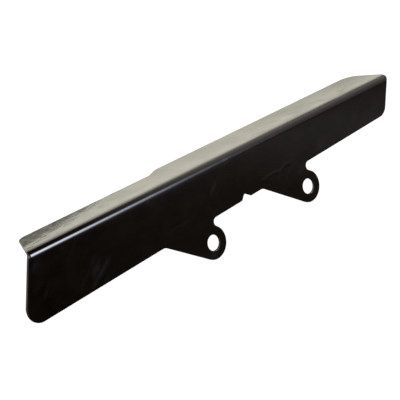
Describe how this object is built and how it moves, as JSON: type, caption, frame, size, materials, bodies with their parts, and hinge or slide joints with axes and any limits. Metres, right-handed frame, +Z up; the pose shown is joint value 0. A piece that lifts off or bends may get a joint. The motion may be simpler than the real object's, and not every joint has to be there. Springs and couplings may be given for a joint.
{
  "type": "atv plow blade plate",
  "caption": "Folded steel blade plate: an upright face, a stepped flange bent back along its top, drilled bolt ears on its lower edge and a small notch between them.",
  "frame": {"origin": "centre of the left bolt hole, in the plane of the face's front", "axes": "+X along the bend towards the end with the deeper flange, +Y to the back, the way the flange runs, +Z up from the bolt ears to the flange"},
  "size_m": [0.4374, 0.0523, 0.0755],
  "materials": {
    "black_coat": "gloss black baked coating on folded sheet steel, with faint orange peel"
  },
  "bodies": {
    "root": {"blade_plate": "black_coat"}
  },
  "joints": []
}
